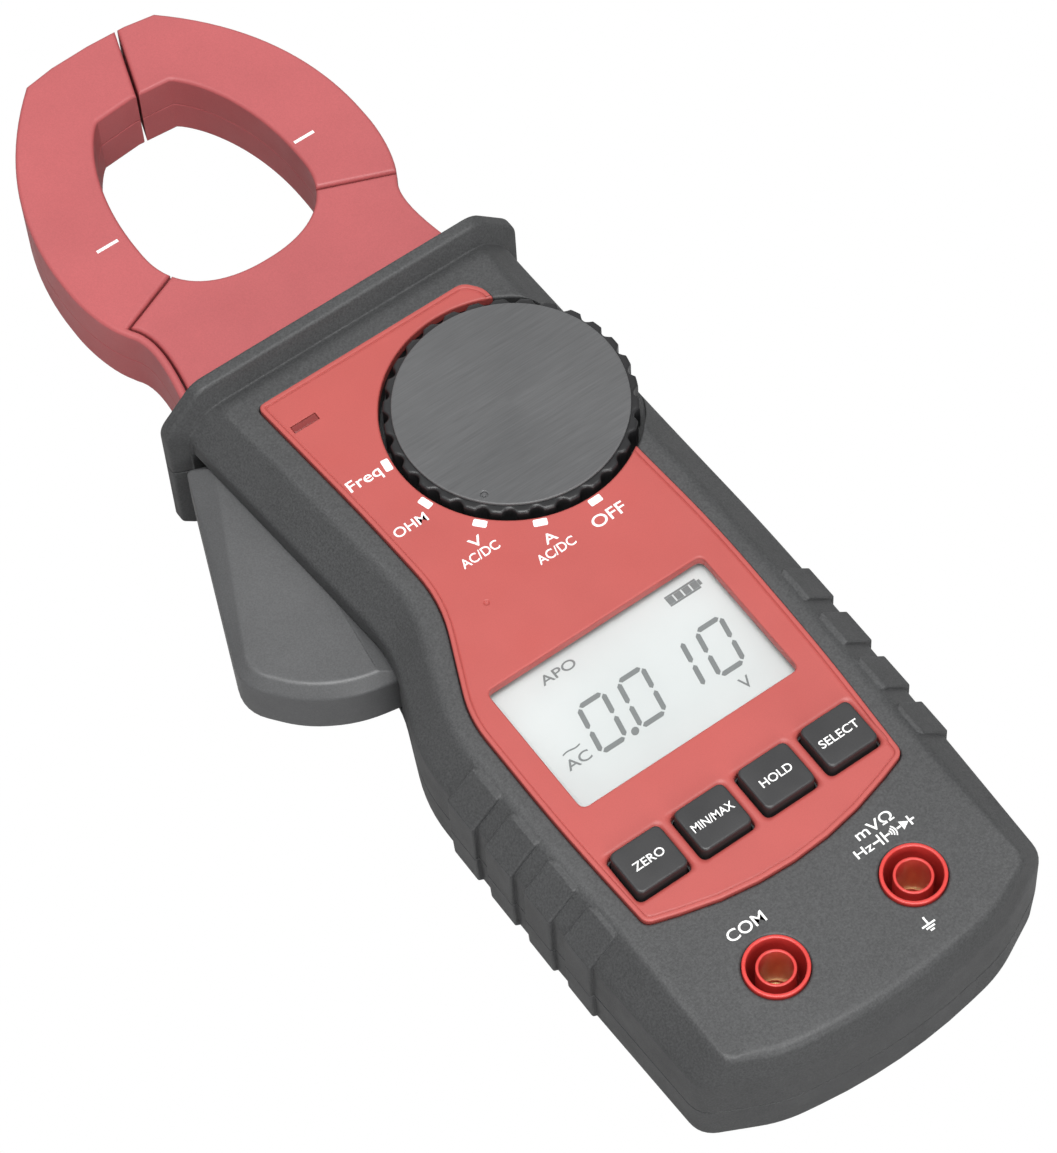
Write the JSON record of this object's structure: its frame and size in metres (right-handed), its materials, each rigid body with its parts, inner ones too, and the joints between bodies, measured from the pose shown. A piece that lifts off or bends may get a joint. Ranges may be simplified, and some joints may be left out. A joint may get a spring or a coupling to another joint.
{
  "type": "digital clamp meter",
  "caption": "Hand-held digital clamp meter with a trigger-opened measuring clamp, rotary range switch, display, keys and two safety sockets.",
  "frame": {"origin": "on the flat back of the handle, on its long axis, at mid-length of the handle", "axes": "+X to the user's right when reading the display, +Y along the handle towards the tip of the clamp, +Z out of the front face"},
  "size_m": [0.0895, 0.2474, 0.0384],
  "materials": {
    "case_black": "fine spark-eroded texture, matt",
    "panel_red": "fine texture, satin",
    "jaw_red": "fine texture, satin",
    "lens_red": "tinted, glossy",
    "led_clear": "clear epoxy",
    "window_clear": "clear, polished",
    "display_glass": "anti-glare film over glass",
    "white_plastic": "plain moulded",
    "zebra_rubber": "matt",
    "light_guide": "milky",
    "key_black": "smooth, satin",
    "mat_rubber": "matt silicone",
    "knob_black": "smooth, satin",
    "cap_grey": "very fine turned grain, satin",
    "screw_steel": "zinc plated",
    "contact_brass": "bright",
    "contact_steel": "nickel plated",
    "spring_steel": "drawn wire",
    "pin_steel": "ground",
    "board_green": "solder mask",
    "chip_black": "moulded epoxy",
    "varistor_blue": "dipped coating",
    "socket_red": "smooth, slightly glossy",
    "cell_wrap": "plain printed sleeve",
    "trigger_black": "fine texture, matt",
    "core_iron": "stacked core, lacquered",
    "lead_red": "wire insulation"
  },
  "bodies": {
    "case": {"front_case": "case_black", "rear_case": "case_black", "face_panel": "panel_red", "indicator_lens": "lens_red", "indicator_led": "led_clear", "lcd_window": "window_clear", "lcd_glass": "display_glass", "lcd_frame": "white_plastic", "zebra_strips": "zebra_rubber", "backlight": "light_guide", "keypad_mat": "mat_rubber", "main_board": "board_green", "board_chips": "chip_black", "input_protection": "varistor_blue", "buzzer": "chip_black", "socket_com": "socket_red", "socket_volt": "socket_red", "socket_contacts": "contact_brass", "battery_cells": "cell_wrap", "battery_contacts": "contact_steel", "battery_door": "case_black", "door_screw": "screw_steel", "case_screws": "screw_steel", "lever_spring": "spring_steel", "pivot_pin": "pin_steel", "fixed_jaw_front": "jaw_red", "fixed_jaw_rear": "jaw_red", "fixed_core": "core_iron", "hall_sensor": "chip_black", "sensor_lead": "lead_red", "neck_front": "jaw_red", "neck_rear": "jaw_red", "neck_screws": "screw_steel"},
    "clamp_lever": {"trigger_lever": "trigger_black", "moving_jaw_front": "jaw_red", "moving_jaw_rear": "jaw_red", "moving_core": "core_iron"},
    "range_switch": {"rotary_knob": "knob_black", "knob_cap": "cap_grey", "knob_screw": "screw_steel", "switch_rotor": "white_plastic", "wiper_contacts": "contact_brass"},
    "key_zero": {"button_zero": "key_black"},
    "key_min_max": {"button_min_max": "key_black"},
    "key_hold": {"button_hold": "key_black"},
    "key_select": {"button_select": "key_black"}
  },
  "joints": [
    {"name": "clamp_hinge", "type": "hinge", "parent": "case", "child": "clamp_lever", "pos_m": [-0.022, 0.082, 0.0135], "axis": [0, 0, 1], "range_deg": [0, 24], "stiffness_Nm_per_rad": 0.9, "springref_deg": -20.05},
    {"name": "range_turn", "type": "hinge", "parent": "case", "child": "range_switch", "pos_m": [0.014, 0.0463, 0.022], "axis": [0, 0, 1], "range_deg": [-49, 49]},
    {"name": "key_zero_press", "type": "slide", "parent": "case", "child": "key_zero", "axis": [0, 0, -1], "range_m": [0, 0.0012], "stiffness_N_per_m": 900},
    {"name": "key_min_max_press", "type": "slide", "parent": "case", "child": "key_min_max", "axis": [0, 0, -1], "range_m": [0, 0.0012], "stiffness_N_per_m": 900},
    {"name": "key_hold_press", "type": "slide", "parent": "case", "child": "key_hold", "axis": [0, 0, -1], "range_m": [0, 0.0012], "stiffness_N_per_m": 900},
    {"name": "key_select_press", "type": "slide", "parent": "case", "child": "key_select", "axis": [0, 0, -1], "range_m": [0, 0.0012], "stiffness_N_per_m": 900}
  ]
}
